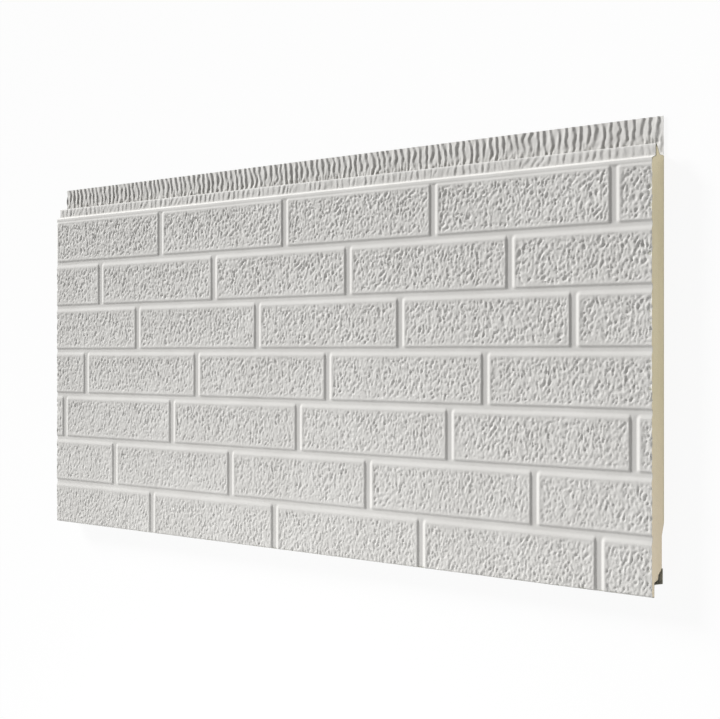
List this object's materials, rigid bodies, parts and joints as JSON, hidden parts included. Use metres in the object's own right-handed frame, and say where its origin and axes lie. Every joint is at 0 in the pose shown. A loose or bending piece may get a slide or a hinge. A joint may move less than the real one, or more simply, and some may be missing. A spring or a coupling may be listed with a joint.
{
  "type": "metal siding panel",
  "caption": "Insulated metal wall siding panel with an embossed brick face, a ribbed nailing flange with tongue and groove along the top, and a hooked leg along the bottom.",
  "frame": {"origin": "centre of the panel's outline, on the plane its back rests on", "axes": "+X along the panel, to the right as seen on the wall; +Y up the wall, from the leg to the nailing flange; +Z out of the brick face"},
  "size_m": [1, 0.418, 0.016],
  "materials": {
    "painted_sheet": "matte off-white coil coating",
    "foam": "sawn rigid foam",
    "foil": "satin foil"
  },
  "bodies": {
    "root": {"face_sheet": "painted_sheet", "foam_core": "foam", "back_foil": "foil"}
  },
  "joints": []
}
